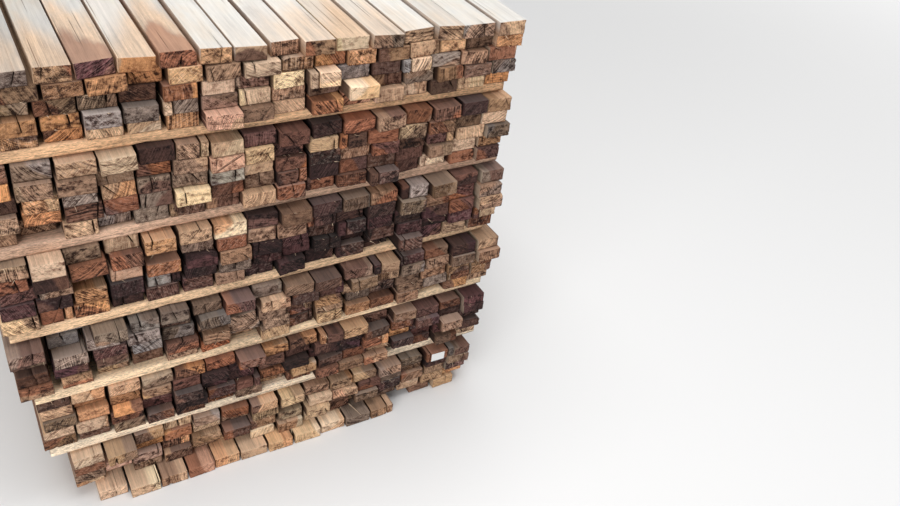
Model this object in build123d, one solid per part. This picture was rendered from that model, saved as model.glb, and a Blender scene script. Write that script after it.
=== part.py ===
"""A stack of sawn battens: rows laid side by side in tiers, with cross boards between the tiers.

X runs along the face that shows the batten ends, Y along the battens, Z up, in millimetres.
The battens of one row share a node, and so do the cross boards of one level.
"""
from build123d import *
from math import asin, atan2, cos, hypot, sin, sqrt
from random import Random
import os

# The battens
batten_length = 2400.0
batten_width = 48.0
batten_thickness = 24.0
width_spread = 0.07
thickness_spread = 0.07
length_spread = 7.0

# The rows and tiers, from the ground up
rows_per_tier = 5
batten_count_of_tier = (15, 16, 16, 16, 16, 16)
thickness_of_tier = (0.9, 0.865, 0.935, 1.05, 1.025, 0.94)
gap_in_tier = (3.3, 3.2, 5.2, 4.2, 3.5, 3.9)
ground_row_battens = 14
ground_row_gap = 3.0
ground_row_shift = 6.0
tightest_gap = 1.5
row_drift = 3.5
stack_lean = 28.0
bedding = 0.05

# The top row lies open to view: each batten's share of the usual width, then of the usual gap
top_row_widths = (
    1.02, 0.97, 0.94, 1.02, 1.0, 1.03, 0.91, 0.96, 0.88, 0.96, 1.08, 1.06, 1.05, 0.93, 1.15, 1.04,
)
top_row_gaps = (1.1, 2.1, 0.5, 0.35, 1.6, 0.9, 0.8, 2.2, 0.7, 1.1, 1.4, 0.7, 0.3, 0.3, 1.4)

# How far the batten ends stand out of the face, or lie back in it
end_stagger = 4.5
stagger_of_tier = (1.5, 1.6, 1.7, 1.6, 1.15, 1.0)
odd_end_stagger = 14.0
odd_end_chance = 0.07
upper_row_push = 11.0
side_push = 12.0
ground_row_push = 42.0
ground_row_flush = 3
end_skew = 0.03
odd_end_skew = 0.11

# Single battens that stand well out of the face, or far back in it: tier, row, place from the left, push
pushed_battens = (
    (6, 3, 9, 15.0), (6, 2, 10, 26.0), (6, 1, 6, 14.0), (6, 1, 9, 12.0), (5, 5, 3, 10.0),
    (5, 1, 11, 14.0), (4, 5, 1, 16.0), (4, 1, 12, 18.0), (3, 5, 0, 16.0), (3, 5, 2, 14.0),
    (2, 3, 4, 12.0), (1, 4, 8, 10.0), (1, 3, 10, 16.0), (5, 1, 1, -36.0), (4, 3, 2, -34.0),
    (4, 4, 4, -28.0), (3, 5, 1, -40.0), (3, 4, 1, -34.0), (3, 2, 3, -30.0), (2, 4, 1, -26.0),
)

# Edges left round by the log, and battens split along their length
wane_chance = 0.13
wane_across = 9.0
wane_down = 8.0
wane_radius = 11.6
wane_steps = 6
split_chance = 0.035
split_share = 0.27
split_gap = 2.2

# The cross boards between the tiers
board_inset = 14.0
board_width = 72.0
board_thickness = 17.0
boards_per_level = 5
board_setback = 2.0
board_drift = 6.0
board_skew = 0.012

# One number that sorts the battens, so that every build lays the same stack
sorting = 15

row_widths = [
    count * batten_width + (count - 1) * gap for count, gap in zip(batten_count_of_tier, gap_in_tier)
]
board_length = max(row_widths) - 2 * board_inset


def evenly_mixed(draw, count):
    """Values between -1 and 1 that add up to nothing."""
    values = [draw.uniform(-1, 1) for _ in range(count)]
    average = sum(values) / count
    return [value - average for value in values]


def gap_shares(draw, count):
    """Shares of the usual gap with an average of one: most are small and a few are wide."""
    values = [draw.random() ** 3 for _ in range(count)]
    average = sum(values) / count
    return [value / average for value in values]


def places_in_row(widths, gaps, shift):
    """The left and right side of each batten, with the whole row centred on shift."""
    left = shift - (sum(widths) + sum(gaps)) / 2
    places = []
    for width, gap in zip(widths, list(gaps) + [0]):
        places.append((left, left + width))
        left += width + gap
    return places


def clipped(crown, left, right):
    """The points of a top line between left and right, with its ends cut there."""
    points = [point for point in crown if left <= point[0] <= right]
    for (x0, z0), (x1, z1) in zip(crown, crown[1:]):
        for side in (left, right):
            if x0 < side < x1:
                points.append((side, z0 + (z1 - z0) * (side - x0) / (x1 - x0)))
    return points


def settle(left, right, crowns, most_slope):
    """Height at the middle and slope of the line on which a stiff flat underside comes to rest.

    It touches a support on each side of its middle, unless its neighbours stop it from leaning that far.
    """
    touches = [point for crown in crowns for point in clipped(crown, left, right)]
    middle = (left + right) / 2
    lines = [(0.0, 0.0)]
    for x0, z0 in touches:
        for x1, z1 in touches:
            if x0 <= middle < x1:
                slope = (z1 - z0) / (x1 - x0)
                lines.append((z0 + slope * (middle - x0), slope))
    slope = max(-most_slope, min(most_slope, max(lines)[1]))
    height = max(z - slope * (x - middle) for x, z in touches)
    return height + bedding, slope


def round_edge(flat, low, radius):
    """Points along the arc from flat to low, which bulges out of the piece."""
    chord_x, chord_z = low[0] - flat[0], low[1] - flat[1]
    chord = hypot(chord_x, chord_z)
    side = 1 if chord_x > 0 else -1
    depth = sqrt(radius ** 2 - (chord / 2) ** 2)
    centre_x = (flat[0] + low[0]) / 2 + side * chord_z / chord * depth
    centre_z = (flat[1] + low[1]) / 2 - side * chord_x / chord * depth
    start = atan2(flat[1] - centre_z, flat[0] - centre_x)
    turn = -side * 2 * asin(chord / 2 / radius)
    angles = [start + turn * step / wane_steps for step in range(wane_steps + 1)]
    return [(centre_x + radius * cos(angle), centre_z + radius * sin(angle)) for angle in angles]


def end_outline(left, right, thickness, height, slope, side=1, wane=0.0):
    """A piece's underside and its top line, both from the far edge to the edge on the given side.

    A waney edge is round: it is cut across and down by its share of the deepest wane.
    """
    middle = (left + right) / 2
    along = (1 / hypot(1, slope), slope / hypot(1, slope))
    across = (-along[1], along[0])
    start = (middle - across[0] * thickness / 2, height - slope * across[0] * thickness / 2)
    half = side * (right - left) / 2

    def corner(step_along, step_up):
        x = start[0] + along[0] * step_along + across[0] * step_up
        z = start[1] + along[1] * step_along + across[1] * step_up
        return (x, z)

    crown = [corner(-half, thickness)]
    if wane > 0:
        flat = corner(half - side * wane_across * wane, thickness)
        low = corner(half, thickness - wane_down * wane)
        crown += round_edge(flat, low, wane_radius * wane)
    else:
        crown.append(corner(half, thickness))
    return [corner(-half, 0), corner(half, 0)], crown


def drawn_out(underside, crown, front, length, skew=0.0, rake=0.0):
    """A straight piece between its underside and its top line, its ends a little out of square."""
    middle = (underside[0][0] + underside[1][0]) / 2
    foot = underside[0][1]

    def on_end(points):
        return [(x, front + skew * (x - middle) + rake * (z - foot), z) for x, z in points]

    far_foot, near_foot = on_end(underside)
    top = on_end(crown)
    outline = [Polyline(top[1], top[0], far_foot, near_foot, top[-1])]
    if len(top) > 2:
        outline.append(ThreePointArc(top[1], top[len(top) // 2], top[-1]))
    return extrude(make_face(outline), amount=length, dir=(0, 1, 0))


def batten_front(draw, tier, row, place, count):
    """Where a batten's front end lies: less than nothing stands out of the face."""
    front = draw.gauss(0, end_stagger * stagger_of_tier[tier - 1])
    if draw.random() < odd_end_chance:
        front += draw.choice((-1, 1)) * odd_end_stagger
    front -= upper_row_push * (row - 1) / (rows_per_tier - 1)
    front -= side_push * (place / (count - 1) - 0.3)
    if tier == 1 and row == 1 and place < count - ground_row_flush:
        front = -ground_row_push * (0.6 if place == 0 else draw.uniform(0.85, 1.05))
    for pushed_tier, pushed_row, pushed_place, push in pushed_battens:
        if (tier, row, place) == (pushed_tier, pushed_row, pushed_place):
            front = -upper_row_push - push
    return front


def lay_row(tier, row, columns, crowns):
    """The battens of one row as solids, and the top line of each."""
    draw = Random(f"{sorting} {tier} {row}")
    ground_row = tier == 1 and row == 1
    top_row = tier == len(batten_count_of_tier) and row == rows_per_tier
    count = ground_row_battens if ground_row else batten_count_of_tier[tier - 1]
    usual_gap = ground_row_gap if ground_row else gap_in_tier[tier - 1]
    usual_thickness = batten_thickness * thickness_of_tier[tier - 1]
    most_slope = tightest_gap / (usual_thickness * (1 + thickness_spread))

    widths = [batten_width * (1 + width_spread * value) for value in evenly_mixed(draw, count)]
    own_gaps = gap_shares(draw, count - 1)
    shares = [0.65 * column + 0.35 * own for column, own in zip(columns, own_gaps)]
    if top_row:
        widths = [batten_width * share for share in top_row_widths]
        shares = top_row_gaps
    gaps = [tightest_gap + (usual_gap - tightest_gap) * share for share in shares]
    tiers_up = (tier - 1) / (len(batten_count_of_tier) - 1)
    shift = stack_lean * (0.5 - tiers_up) + draw.uniform(-row_drift, row_drift)
    if ground_row:
        shift += ground_row_shift

    battens = []
    top_lines = []
    for place, (left, right) in enumerate(places_in_row(widths, gaps, shift)):
        thickness = usual_thickness * (1 + thickness_spread * draw.uniform(-1, 1))
        front = batten_front(draw, tier, row, place, count)
        length = batten_length + draw.uniform(-length_spread, length_spread)
        skew = draw.uniform(-end_skew, end_skew)
        if draw.random() < odd_end_chance:
            skew = draw.choice((-1, 1)) * odd_end_skew
        rake = draw.uniform(-end_skew, end_skew)
        side, wane = 1, 0.0
        if draw.random() < wane_chance:
            wane = draw.uniform(0.45, 1)
            side = draw.choice((-1, 1))
        parts = [(left, right)]
        if draw.random() < split_chance and not top_row:
            split = left + (right - left) * draw.choice((split_share, 1 - split_share))
            parts = [(left, split - split_gap / 2), (split + split_gap / 2, right)]
            wane = 0.0
        for part_left, part_right in parts:
            room = most_slope * thickness / 2
            height, slope = settle(part_left - room, part_right + room, crowns, most_slope)
            underside, crown = end_outline(part_left, part_right, thickness, height, slope, side, wane)
            battens.append(drawn_out(underside, crown, front, length, skew, rake))
            top_lines.append(sorted(crown))
            front += draw.uniform(-split_gap, split_gap)
    return battens, top_lines


def lay_boards(level, crowns):
    """The cross boards on top of one tier, and their shared top line."""
    draw = Random(f"{sorting} boards {level}")
    tiers_up = (level - 0.5) / (len(batten_count_of_tier) - 1)
    middle = stack_lean * (0.5 - tiers_up)
    height, slope = settle(middle - board_length / 2, middle + board_length / 2, crowns, 1.0)
    first = board_setback
    step = (batten_length - board_width - 2 * board_setback) / (boards_per_level - 1)
    boards = []
    tops = []
    for number in range(boards_per_level):
        start = middle + draw.uniform(-board_drift, board_drift)
        left = start - board_length / 2
        foot = height + slope * (start - middle)
        underside, crown = end_outline(left, left + board_length, board_thickness, foot, slope)
        skew = draw.uniform(-0.2, 1) * board_skew
        boards.append(drawn_out(underside, crown, first + number * step, board_width, skew))
        tops.append(sorted(crown))
    return boards, tops


def build_stack():
    """Every node of the stack by name, from the ground up."""
    nodes = {}
    ground = [(-2 * board_length, -bedding), (2 * board_length, -bedding)]
    crowns = [ground]
    for tier in range(1, len(batten_count_of_tier) + 1):
        columns = gap_shares(Random(f"{sorting} columns {tier}"), batten_count_of_tier[tier - 1] - 1)
        for row in range(1, rows_per_tier + 1):
            battens, top_lines = lay_row(tier, row, columns, crowns)
            nodes[f"tier_{tier}_row_{row}"] = battens
            crowns = crowns + top_lines
        if tier < len(batten_count_of_tier):
            boards, tops = lay_boards(tier, crowns)
            nodes[f"cross_boards_{tier}"] = boards
            crowns = tops
    return nodes


def export_stack():
    """Writes each node, with the origin under the middle of the whole stack."""
    nodes = {name: Compound(solids) for name, solids in build_stack().items()}
    box = Compound(list(nodes.values())).bounding_box()
    to_origin = Pos(-box.center().X, -box.center().Y, -box.min.Z)
    os.makedirs("parts", exist_ok=True)
    for name, node in nodes.items():
        export_step(to_origin * node, f"parts/{name}.step")
    print("stack size, mm:", [round(size, 1) for size in box.size])


export_stack()
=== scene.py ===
"""The looks of a stack of sawn battens: rough ends, checks, waney edges, weathered and bleached wood.

Every batten and cross board is read from the frame, and a detailed one is made in its place.
"""
import math
from random import Random

import bpy
import numpy as np
from mathutils import Matrix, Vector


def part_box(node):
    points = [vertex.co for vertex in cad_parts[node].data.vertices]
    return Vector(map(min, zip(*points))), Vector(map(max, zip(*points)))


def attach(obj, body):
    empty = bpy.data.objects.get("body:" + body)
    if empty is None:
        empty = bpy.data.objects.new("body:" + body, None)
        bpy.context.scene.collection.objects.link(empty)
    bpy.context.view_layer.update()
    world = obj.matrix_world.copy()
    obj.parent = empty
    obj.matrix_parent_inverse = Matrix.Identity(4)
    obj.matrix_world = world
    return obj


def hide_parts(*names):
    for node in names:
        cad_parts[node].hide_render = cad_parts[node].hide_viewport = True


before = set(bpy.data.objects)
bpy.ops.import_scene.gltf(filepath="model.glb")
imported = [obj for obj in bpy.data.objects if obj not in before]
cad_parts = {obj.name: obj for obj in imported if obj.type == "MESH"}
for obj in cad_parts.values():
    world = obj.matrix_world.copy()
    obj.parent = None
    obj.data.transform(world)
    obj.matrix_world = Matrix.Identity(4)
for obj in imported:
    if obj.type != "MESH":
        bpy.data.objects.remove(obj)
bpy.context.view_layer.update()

# The camera's place, measured from the front of the cross boards, the stack's axis and the ground
camera_before_boards = 1.080
camera_left_of_axis = 0.4136
camera_height = 1.282
camera_heading = 34.703
camera_tilt = -35.702
camera_roll = 8.135
camera_view_angle = 55.249

# The rows of battens
tiers = 6
rows_per_tier = 5

# How a batten is divided: faces across it and up its thickness, and along each kind of it
faces_across = 18
faces_up = 9
faces_along = {"inner": 7, "outer": 20, "open": 50}
crowding_at_ends = {"inner": 4.5, "outer": 2.4, "open": 1.7}
crowding_at_edges = 1.5
kinds_of_batten = ("inner", "outer", "open")
board_faces = (44, 5, 4)
board_crowdings = (1.3, 1.4, 1.4)

# How the corners in the frame are read: decimals that are kept, and lengths in metres
weld_decimals = 6
outline_decimals = 5
flush = 0.0002
least_wane = 0.001
foot_share = 0.35

# The rough sawn surface, in metres
edge_radius = 0.0009
edge_wear = (0.5, 1.4)
face_roughness = 0.0004
face_stretch = (0.6, 5, 0.4)
other_face = (7, 7, 7)
end_roughness = 0.0009
end_depth = 0.003
chip_depth = 0.003
chip_width = 0.005
chip_reach = 0.012
chip_range = (0.55, 0.75)
chip_aside = 0.55
wane_bulge = 0.56
hair = 0.00001

# The checks in the ends, which open at a line of faces
check_chance = 0.42
check_run = (0.02, 0.09)
check_depth = (0.006, 0.014)
check_reach = (0.6, 1.15)
check_gap = (0.001, 0.004)
check_sides = (-1, 1, 1)
check_slant = 0.9
check_margins = {faces_across: 4, faces_up: 3}
check_taper = 0.25
widest_check = 0.16
closed_check = 0.00012
lines_pulled = 3
bottom_zone = 0.0035
bottom_rise = 0.3
usual_slant = 0.2
level_check_chance = 0.2
level_check_slant = 0.08
no_check = ((0.0, 0.0, 0.0), (0.0, 0.0, 0.0), (0.01, 1.0, 0.0))

# Torn splinters at the rims of the ends
splinter_chance = 0.24
most_splinters = 3
splinter_sides = 4
splinter_segments = 4
splinter_taper = 0.12
splinter_bend = (0.0012, 0.0016)
splinter_bend_scale = 90.0
splinter_places_across = 0.47
splinter_places_up = (-0.47, -0.45, 0.46)
splinter_thickness = (0.0003, 0.0007)
splinter_flatness = (0.5, 1.0)
splinter_length = (0.004, 0.012)
splinter_tilt = 35
splinter_roll = 0.6
splinter_heading = 0.9
splinter_lift = 0.0012
splinter_dullness = 0.9

# One splinter that lies loose on the row on the ground
loose_splinter_across = 0.14
loose_splinter_back = 0.036
loose_splinter_heading = 14
loose_splinter_size = (0.0013, 0.0008, 0.038)

# A blank tag on one end
tag_size = (0.029, 0.019)
tag_place = (0.339, 0.106)
tag_rows = (4, 5)
tag_faces_off = (0.0006, 0.0002)
tag_curl = 0.0004
tag_dullness = 0.8

# The wood's own growth, and how the saw went through it
pith_distance = (0.02, 0.12)
pith_range = 40
seed_range = 50
heart_edge = 0.032
saw_slant = 1.2
saw_strength = (0.2, 1.0)

# How single battens differ: the columns and the row on the ground take a least and a share of the draw
brightness_of_battens = (0.5, 1.3)
brightness_in_columns = (0.62, 0.4)
brightness_on_ground = (0.92, 0.2)
warmth_of_battens = (-0.05, 0.1)
least_blue = -0.14
most_blue = 0.03
most_blue_of_dark = 0.2
most_film = 0.5


def shade(red, green, blue):
    """A colour as seen, from 0 to 255, as linear light."""
    values = [value / 255 for value in (red, green, blue)]
    return tuple(value / 12.92 if value < 0.04045 else ((value + 0.055) / 1.055) ** 2.4 for value in values)


# The colours that the wood has taken, from fresh sawn to weathered and wet
tones = {
    "fresh": shade(236, 209, 175),
    "cream": shade(219, 193, 164),
    "pale": shade(204, 173, 146),
    "tan": shade(186, 151, 121),
    "orange": shade(191, 139, 100),
    "pinkish": shade(190, 150, 130),
    "red_brown": shade(136, 86, 62),
    "brown": shade(140, 109, 88),
    "umber": shade(97, 67, 57),
    "purple": shade(77, 48, 48),
    "black_brown": shade(46, 29, 27),
    "grey": shade(139, 126, 120),
    "blue_grey": shade(152, 146, 144),
    "grey_brown": shade(127, 107, 95),
}

# The tones that may turn far towards purple
dark_tones = ("umber", "purple", "black_brown")

# The tone that the heart of the log may have, for each tone of the rest
heart_tones = {
    "fresh": "cream pale", "cream": "tan pale orange", "pale": "tan brown cream",
    "tan": "brown orange umber pale", "orange": "red_brown umber tan", "pinkish": "red_brown brown tan",
    "red_brown": "umber purple brown", "brown": "umber red_brown tan", "umber": "black_brown red_brown",
    "purple": "black_brown umber", "black_brown": "purple umber", "grey": "grey_brown blue_grey brown",
    "blue_grey": "grey grey_brown", "grey_brown": "brown umber grey",
}

usual_tones = "tan brown"

# Where each mix of tones lies: tier, first and last row, left and right as shares of the width
tone_zones = (
    (6, 1, 5, 0.0, 1.0, "tan brown pale orange pinkish grey_brown"),
    (6, 3, 5, 0.0, 0.35, "brown umber grey_brown orange tan"),
    (6, 1, 2, 0.0, 0.3, "orange tan pale tan"),
    (6, 2, 4, 0.42, 0.62, "cream pale tan pinkish"),
    (6, 1, 1, 0.45, 0.95, "orange tan pinkish tan"),
    (6, 4, 4, 0.55, 1.0, "tan orange tan brown"),
    (6, 3, 3, 0.62, 1.0, "grey_brown tan grey pinkish"),
    (6, 2, 2, 0.62, 1.0, "pinkish tan grey_brown brown"),
    (5, 1, 5, 0.0, 1.0, "tan brown grey_brown pale"),
    (5, 1, 5, 0.0, 0.28, "tan pale orange pinkish grey_brown"),
    (5, 1, 5, 0.28, 0.46, "tan brown red_brown umber grey_brown"),
    (5, 1, 5, 0.46, 0.9, "umber red_brown umber brown umber"),
    (5, 4, 5, 0.5, 0.95, "umber red_brown umber brown"),
    (5, 1, 3, 0.8, 1.0, "tan orange pale grey_brown"),
    (4, 1, 5, 0.0, 1.0, "grey_brown brown umber red_brown"),
    (4, 3, 5, 0.0, 0.3, "grey_brown umber brown umber"),
    (4, 1, 2, 0.0, 0.12, "purple black_brown umber"),
    (4, 1, 2, 0.12, 0.3, "orange pinkish tan brown"),
    (4, 2, 5, 0.3, 0.48, "umber brown grey_brown umber"),
    (4, 1, 3, 0.42, 0.88, "black_brown purple black_brown purple black_brown"),
    (4, 4, 5, 0.48, 0.92, "umber brown umber grey_brown"),
    (4, 1, 4, 0.88, 1.0, "pale grey_brown red_brown"),
    (3, 1, 5, 0.0, 1.0, "grey_brown brown umber tan"),
    (3, 2, 5, 0.0, 0.5, "grey umber purple grey_brown brown"),
    (3, 1, 1, 0.1, 0.6, "orange tan pale red_brown"),
    (3, 2, 5, 0.55, 1.0, "grey_brown brown purple brown"),
    (3, 1, 1, 0.6, 1.0, "orange tan brown"),
    (2, 1, 5, 0.0, 1.0, "red_brown brown tan umber"),
    (2, 3, 5, 0.0, 0.22, "orange tan brown pale"),
    (2, 3, 4, 0.22, 0.68, "black_brown purple umber black_brown"),
    (2, 5, 5, 0.25, 0.6, "red_brown brown orange red_brown"),
    (2, 1, 2, 0.2, 0.7, "red_brown umber tan brown"),
    (2, 2, 3, 0.15, 0.3, "black_brown umber purple umber"),
    (2, 2, 5, 0.7, 1.0, "tan brown red_brown orange umber"),
    (2, 1, 5, 0.84, 1.0, "umber purple umber brown"),
    (1, 2, 5, 0.0, 1.0, "tan pale orange cream pinkish"),
    (1, 5, 5, 0.0, 0.3, "grey tan pale"),
    (1, 3, 5, 0.3, 0.45, "red_brown tan brown"),
    (1, 2, 5, 0.68, 1.0, "grey_brown brown umber tan"),
)

# The battens of the open top row, from the left: tone of the end, stain, dullness and warmth of the film; the
# dullness is partly dull weathering and partly painted shade, mostly greater towards the left
top_row = (
    ("brown", 0.3, 0.38, 0.2),
    ("grey_brown", 0.2, 0.38, 0.3),
    ("brown", 0.38, 0.28, 0.3),
    ("purple", 1.0, 0.16, 0.4),
    ("orange", 0.39, 0.08, 0.5),
    ("umber", 0.95, 0.15, 0.4),
    ("brown", 0.04, 0.05, 0.2),
    ("tan", 0.06, 0.0, 0.3),
    ("red_brown", 0.14, 0.0, 0.4),
    ("brown", 0.25, 0.0, 0.4),
    ("fresh", 0.38, 0.05, 1.0),
    ("grey_brown", 0.2, 0.0, 0.8),
    ("brown", 0.06, 0.0, 0.2),
    ("tan", 0.1, 0.12, 0.2),
    ("grey", 0.02, 0.05, 0.1),
    ("pale", 0.0, 0.05, 0.0),
)

# The tones of the row on the ground, from the left
ground_row = (
    "tan", "cream", "brown", "pinkish", "tan", "pale", "tan", "pale",
    "pale", "grey_brown", "brown", "tan", "brown", "tan",
)

# Columns of battens that show well: tier, share of the width, tones from the lowest row up
tone_columns = (
    (5, 0.09, "tan orange tan grey_brown grey_brown"),
    (5, 0.15, "pale umber grey brown pale"),
    (5, 0.205, "grey_brown umber orange tan pale"),
    (5, 0.265, "grey_brown grey_brown grey_brown red_brown umber"),
    (5, 0.32, "brown cream grey_brown brown pale"),
    (5, 0.38, "brown umber blue_grey pinkish pale"),
    (4, 0.03, "pale black_brown umber umber grey_brown"),
    (4, 0.09, "umber black_brown grey_brown umber pale"),
    (4, 0.145, "orange orange brown brown grey_brown"),
    (4, 0.2, "orange purple pinkish umber tan"),
    (4, 0.26, "umber blue_grey orange purple orange"),
    (4, 0.32, "purple purple black_brown grey_brown brown"),
    (4, 0.375, "purple purple brown umber cream"),
)

# Single battens that stand out by their colour: tier, row, share of the width
odd_tones = (
    (6, 2, 0.20, "blue_grey"), (6, 2, 0.27, "blue_grey"), (6, 3, 0.58, "cream"), (6, 2, 0.66, "pale"),
    (6, 3, 0.84, "grey"), (6, 4, 0.46, "cream"), (6, 3, 0.46, "cream"), (6, 1, 0.90, "pale"),
    (5, 5, 0.42, "pale"), (5, 4, 0.56, "tan"), (5, 1, 0.83, "pale"), (5, 2, 0.96, "cream"),
    (5, 4, 0.78, "pale"), (5, 3, 0.96, "grey_brown"), (5, 1, 0.96, "umber"), (5, 5, 0.96, "brown"),
    (5, 5, 0.90, "umber"), (5, 1, 0.90, "brown"), (4, 3, 0.96, "brown"), (4, 3, 0.90, "umber"),
    (4, 2, 0.96, "pale"), (4, 5, 0.91, "umber"), (3, 4, 0.62, "purple"), (3, 5, 0.03, "grey_brown"),
    (3, 1, 0.28, "pale"), (2, 4, 0.14, "orange"), (2, 1, 0.96, "pale"), (2, 5, 0.15, "tan"),
)

# The edges of the cross boards that show under each tier, from the ground up
board_tones = (
    shade(246, 224, 196), shade(238, 208, 172), shade(231, 194, 156), shade(202, 166, 141),
    shade(222, 179, 139),
)
hidden_board_tones = ("fresh", "cream", "tan")
row_like_boards = (1, 2)

# The colours of weather, stains and wear, and of the painted shade at the bottom of the checks
silver_film = shade(216, 215, 211)
warm_film = shade(203, 192, 178)
straw_film = shade(212, 184, 156)
faded_wood = shade(190, 157, 125)
red_stain = shade(164, 118, 92)
brown_stain = shade(140, 104, 86)
stain_edge = shade(112, 88, 82)
dirty_wood = shade(172, 150, 128)
grey_outside = shade(158, 141, 123)
pale_fibres = shade(206, 190, 172)
grey_ends = shade(168, 156, 144)
# Painted shade for the bottom of the checks
check_shade = shade(34, 20, 15)
tag_white = shade(232, 232, 230)
darkening = (1.28, 0.88, 0.8)

# Each kind of grain: its marks in a metre across, along and up, their detail and their roughness
grains = {
    "worn_edges": ((14, 14, 14), 2, 0.5),
    "rough_faces": ((3.5, 3.5, 3.5), 4, 0.6),
    "chips": ((150, 150, 150), 3, 0.7),
    "rough_ends": ((170, 170, 170), 3, 0.6),
    "streaks": ((210, 6, 210), 5, 0.65),
    "fibres": ((1100, 26, 1100), 3, 0.6),
    "fuzz": ((620, 150, 620), 3, 0.7),
    "side_blotches": ((26, 8, 26), 4, 0.6),
    "side_cracks": ((260, 2.2, 260), 2, 0.5),
    "end_blotches": ((75, 1, 110), 4, 0.65),
    "patches": ((200, 1, 260), 3, 0.6),
    "specks": ((1150, 1, 1150), 3, 0.7),
    "heart_edge": ((60, 3, 60), 3, 0.6),
    "ring_wander": ((14, 1.2, 14), 3, 0.5),
}

# The growth rings and the heart of the log, in metres
heart_wander = 0.012
heart_blur = 0.0025
heart_strength = 0.85
ring_wander = 0.016
ring_along = 0.6
ring_around = 1.5
ring_detail = (3, 0.65)
ring_spacing_of_sides = 0.0042
ring_spacing_of_ends = 0.0022

# How much each mark lightens or darkens the sawn faces and their film
side_light = {"streaks": 1.3, "fibres": 0.9, "rings": 1.0, "side_blotches": 1.2}
side_middle = 0.98
side_darkest = 0.1
film_light = {"streaks": 0.5, "fibres": 0.25, "side_blotches": 0.4}
film_middle = 0.95
film_blotches = (0.4, 0.65)
film_mix = 0.6
film_patches = (0.6, 0.75)
facing_up = (0.3, 0.8)
side_dullness = 0.84
side_bump = 0.0008
side_bumps = {"fibres": 0.5, "streaks": 0.6, "chatter": 0.4, "cracks": -0.8}
chatter_scale = 260
crack_strength = 0.65
crack_darkness = 0.22
cracks_in_shade = (0.69, 0.73)
cracks_in_sun = (0.665, 0.705)

# The bleached top row, its faded ends and the stains on them, in metres
straw_strength = 0.45
bleached_sides = (-0.01, 0.012)
bleached_side_strength = 0.5
stain_reach = (0.015, 0.1)
stain_wander = (0.35, 1.3)
stain_aside = 0.016
stain_point = 2.2
stain_range = (-0.02, 0.02)
stain_onset = (0.4, 0.8)
stain_strength = 0.8
stain_edge_strength = 1.6
stain_light = {"streaks": 0.65, "fibres": 0.35, "side_blotches": 0.7}
stain_darkest = 0.15
fade_beyond = 0.08
fade_range = (-0.07, 0.05)
fade_onset = 3
fade_strength = 0.7
dirt_range = (0.58, 0.74)
dirt_strength = 0.22

# The other sawn faces: their film, the grey outside of the stack and the painted shade in the gaps inside it,
# in metres
film_from_tone = 0.7
film_of_tone = 1.6
facing_out = (0.6, 0.9)
outside_patches = (0.25, 0.75)
# Painted shade in the gaps: where it starts and is full behind the end, its strength and its darkness
gap_shade_range = (0.0005, 0.012)
gap_shade_strength = 0.95
gap_shade_darkness = 0.08

# How much each mark lightens or darkens the sawn ends: a least and what the batten's own number adds
ring_contrast = (0.7, 3.4)
saw_contrast = 5.0
saw_scales = (620, 38, 9)
saw_detail = (3, 0.7)
speck_contrast = (1.1, 3.4)
blotch_contrast = 3.0
patch_contrast = 1.4
least_patchy = 0.6
liveliness_of_dark = 1.45
liveliness_lost = 0.55
lively_tones = (0.12, 0.42)
end_middle = 0.97
end_darkest = 0.09
end_dullness = 0.88
end_bump = 0.0012
end_bumps = {"sawn": 1.2, "rings": 0.5, "specks": 0.7, "hairlines": -0.9}

# The marks on the sawn ends: where each starts and is full, its strength and its darkness
shadow_range = (0.2, 0.95)
shadow_strength = 0.8
shadow_darkness = 0.9
ray_scales = (24, 0.7)
ray_detail = (3, 0.7)
ray_wander = 0.12
hairline_range = (0.64, 0.69)
hairline_onset = (0.3, 0.6)
hairline_strength = 0.85
hairline_darkness = 0.1
end_stain_wander = 0.3
end_stain_range = (0.52, 0.66)
end_stain_strength = 0.5
end_stain_darkness = 0.34
fleck_saw = 0.6
fleck_range = (0.59, 0.72)
fleck_strength = (0.2, 0.7)
fleck_mix = 0.25
fleck_light = 1.8
grey_range = (0.5, 0.62)
grey_strength = 0.35
# Pale torn fibres and a painted highlight along the top rim of each end, then painted shade along its bottom
# and sides
fibres_and_highlight_depth = (0.0003, 0.0016)
fibres_and_highlight_wander = 0.6
fibres_and_highlight_range = (0.44, 0.56)
fibres_and_highlight_strength = 0.65
fibres_and_highlight_light = 1.65
rim_shade_depth = (0.0004, 0.0022)
rim_shade_range = (0.26, 0.5)
rim_shade_strength = 0.92
rim_shade_darkness = 0.12
# Painted shade at the bottom of the checks: where it starts and is full, and its strength
check_shade_range = (0.0016, 0.0034)
check_shade_strength = 0.9

# The studio
floor_size = 30.0
floor_fade = (1.2, 6.5)
floor_tone = (0.8, 0.8, 0.8, 1)
floor_glow = 0.75
floor_dullness = 0.9
white = (1, 1, 1, 1)
surround_light = 0.36
lamps = (
    ("sky", (0.2, -1.0, 4.0), 3.2, 139.0),
    ("front", (-2.4, -3.2, 1.6), 2.2, 66.0),
)
gloss = 0.25


class Wire:
    """The output of a node, which is added to, scaled and compared as a number is."""

    def __init__(self, tree, socket):
        self.tree = tree
        self.socket = socket

    def __add__(self, other):
        return self.tree.math("ADD", self, other)

    def __sub__(self, other):
        return self.tree.math("SUBTRACT", self, other)

    def __rsub__(self, other):
        return self.tree.math("SUBTRACT", other, self)

    def __mul__(self, other):
        return self.tree.math("MULTIPLY", self, other)

    def __truediv__(self, other):
        return self.tree.math("DIVIDE", self, other)

    def __gt__(self, other):
        return self.tree.math("GREATER_THAN", self, other)

    def __lt__(self, other):
        return self.tree.math("LESS_THAN", self, other)

    __radd__ = __add__
    __rmul__ = __mul__


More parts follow.
